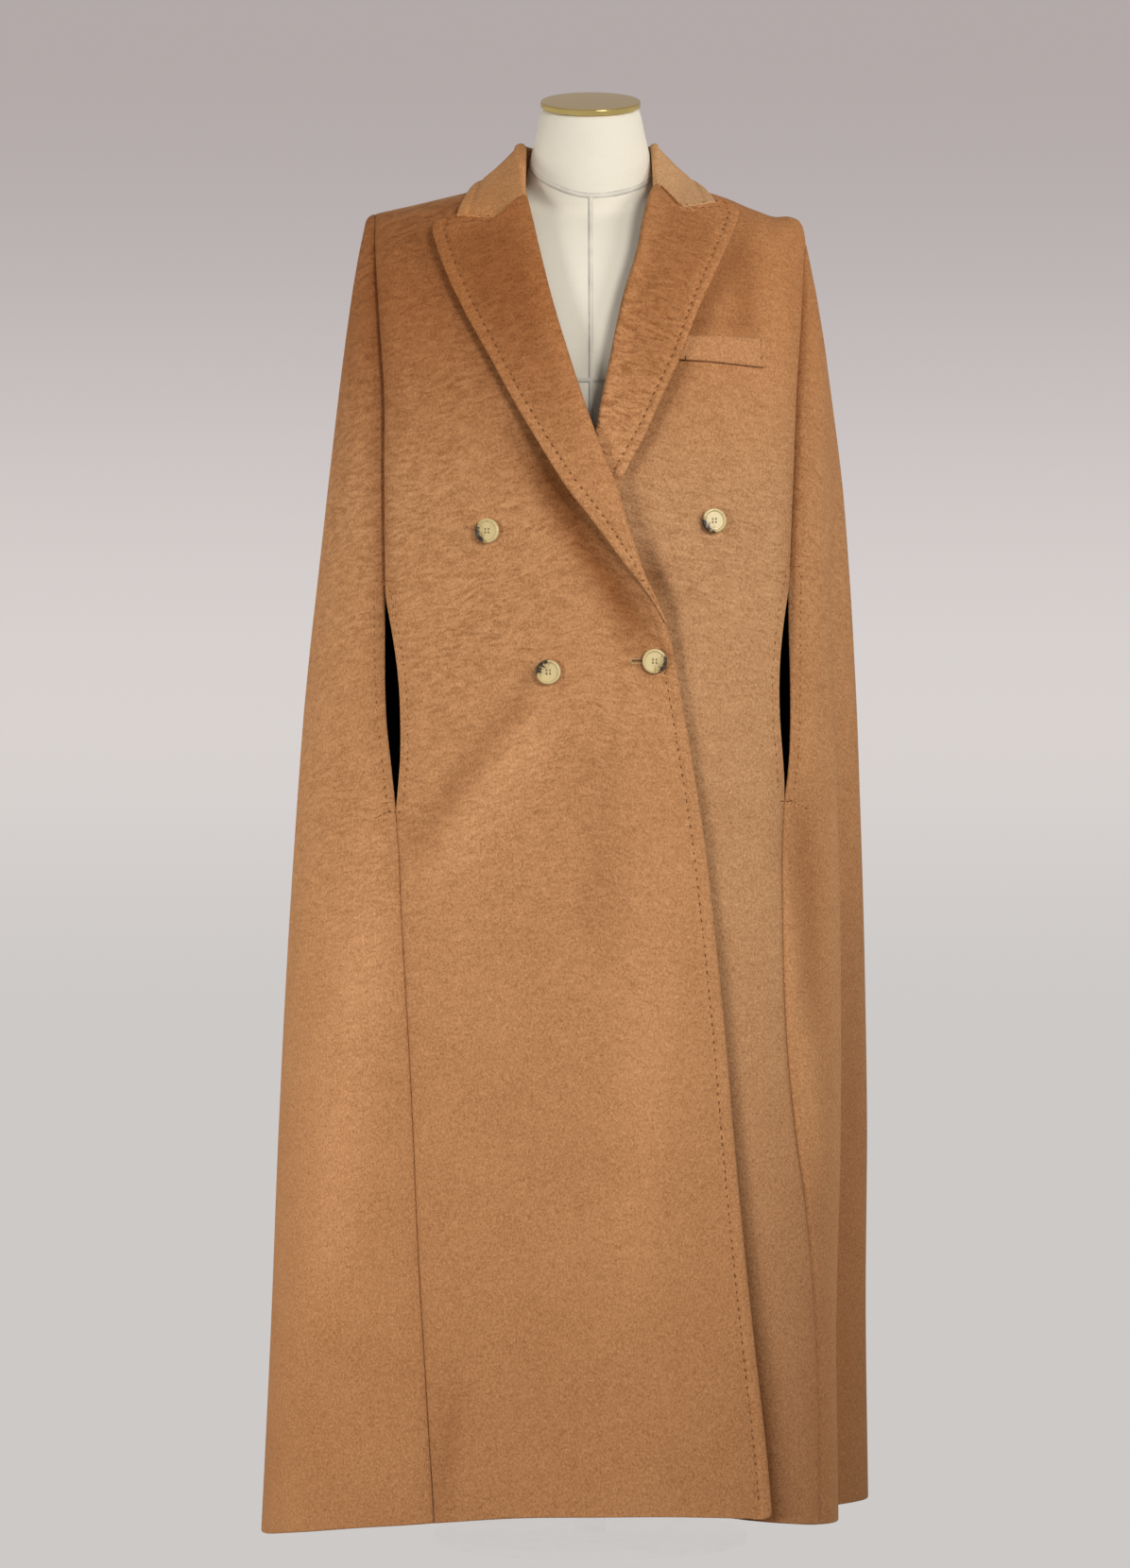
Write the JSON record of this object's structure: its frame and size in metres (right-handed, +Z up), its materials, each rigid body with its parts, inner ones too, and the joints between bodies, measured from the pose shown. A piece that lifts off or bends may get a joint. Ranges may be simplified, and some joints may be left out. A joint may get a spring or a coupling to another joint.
{
  "type": "wool cape on dress form",
  "caption": "Long double-breasted wool cape with peak lapels, collar, arm slits and breast welt, hanging on a limbless linen dress form with metal neck cap on a clear acrylic pole and round base.",
  "frame": {"origin": "centre of the underside of the round base, on the floor", "axes": "+Z up, -Y towards the front of the cape, +X towards the wearer's left"},
  "size_m": [0.5815, 0.4049, 1.3827],
  "materials": {
    "wool": "napped camel wool",
    "horn": "polished horn",
    "linen": "plain linen cover",
    "gold": "polished",
    "stand": "clear polished acrylic"
  },
  "bodies": {
    "root": {"front_right": "wool", "front_left": "wool", "side_right": "wool", "side_left": "wool", "back": "wool", "collar": "wool", "lapel_right": "wool", "lapel_left": "wool", "breast_welt": "wool", "button_right_upper": "horn", "button_right_lower": "horn", "button_left_upper": "horn", "button_fastened": "horn", "form_body": "linen", "neck_cap": "gold", "pole": "stand", "base": "stand"}
  },
  "joints": []
}
